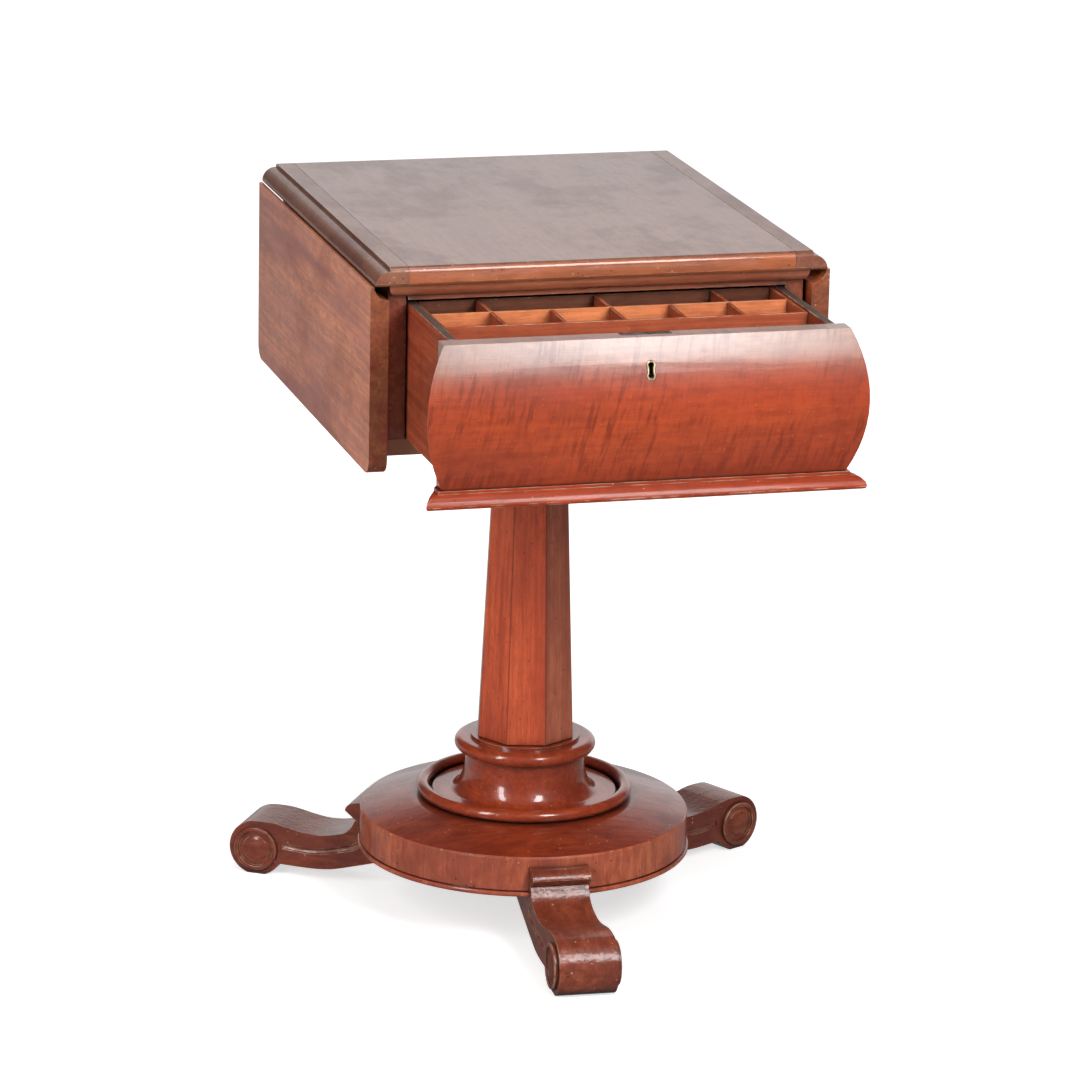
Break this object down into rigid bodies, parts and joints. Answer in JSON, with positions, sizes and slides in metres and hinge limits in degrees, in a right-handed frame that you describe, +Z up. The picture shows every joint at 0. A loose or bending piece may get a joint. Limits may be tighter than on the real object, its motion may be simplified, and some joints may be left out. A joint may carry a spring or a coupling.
{
  "type": "drop-leaf pedestal work table",
  "caption": "Drop-leaf sewing work table with a swelled, fitted drawer, on an octagonal column and a round platform with scroll feet.",
  "frame": {"origin": "on the floor, on the axis of the column", "axes": "+Z up, the drawer opens towards -Y, +X to the right as the drawer is faced"},
  "size_m": [0.5771, 0.6899, 0.74],
  "materials": {
    "mahogany": "french polished",
    "figured_mahogany": "french polished",
    "interior_wood": "waxed",
    "carcase_wood": "bare",
    "brass": "aged",
    "iron": "worn"
  },
  "bodies": {
    "stand": {"platform": "mahogany", "platform_ring": "mahogany", "socle": "mahogany", "column": "figured_mahogany", "foot_front": "mahogany", "foot_front_roundel_left": "mahogany", "foot_front_roundel_right": "mahogany", "foot_left": "mahogany", "foot_left_roundel_left": "mahogany", "foot_left_roundel_right": "mahogany", "foot_right": "mahogany", "foot_right_roundel_left": "mahogany", "foot_right_roundel_right": "mahogany", "column_block": "carcase_wood", "carcase_bottom": "mahogany", "carcase_side_left": "mahogany", "carcase_side_right": "mahogany", "carcase_back": "carcase_wood", "front_top_rail": "mahogany", "back_top_rail": "mahogany", "false_front": "figured_mahogany", "false_front_moulding": "mahogany", "leaf_bracket_left": "carcase_wood", "leaf_bracket_right": "carcase_wood", "top_board": "figured_mahogany", "rule_strip_left": "mahogany", "rule_strip_right": "mahogany", "hinge_top_left_front": "brass", "hinge_top_left_back": "brass", "hinge_top_right_front": "brass", "hinge_top_right_back": "brass"},
    "leaf_left": {"leaf_left": "mahogany", "hinge_leaf_left_front": "brass", "hinge_leaf_left_back": "brass"},
    "leaf_right": {"leaf_right": "mahogany", "hinge_leaf_right_front": "brass", "hinge_leaf_right_back": "brass"},
    "drawer": {"drawer_front": "figured_mahogany", "drawer_moulding": "mahogany", "drawer_side_left": "interior_wood", "drawer_side_right": "interior_wood", "drawer_back": "interior_wood", "drawer_bottom": "interior_wood", "lock_case": "brass", "escutcheon": "brass", "tray_front": "interior_wood", "tray_partition_front": "interior_wood", "tray_partition_rear": "interior_wood", "tray_lining_left": "interior_wood", "tray_lining_right": "interior_wood", "tray_shelf": "interior_wood", "tray_divider_front_1": "interior_wood", "tray_divider_front_2": "interior_wood", "tray_divider_front_3": "interior_wood", "tray_divider_front_4": "interior_wood", "tray_divider_front_5": "interior_wood", "tray_divider_rear_1": "interior_wood", "tray_divider_rear_2": "interior_wood", "tray_divider_rear_3": "interior_wood"},
    "bolt": {"lock_bolt": "iron"}
  },
  "joints": [
    {"name": "drawer_slide", "type": "slide", "parent": "stand", "child": "drawer", "axis": [0, -1, 0], "range_m": [-0.158, 0.13]},
    {"name": "leaf_left_hinge", "type": "hinge", "parent": "stand", "child": "leaf_left", "pos_m": [-0.213, 0, 0.7215], "axis": [0, 1, 0], "range_deg": [0, 90]},
    {"name": "leaf_right_hinge", "type": "hinge", "parent": "stand", "child": "leaf_right", "pos_m": [0.213, 0, 0.7215], "axis": [0, -1, 0], "range_deg": [0, 90]},
    {"name": "lock_bolt_slide", "type": "slide", "parent": "drawer", "child": "bolt", "axis": [0, 0, 1], "range_m": [0, 0.012]}
  ]
}
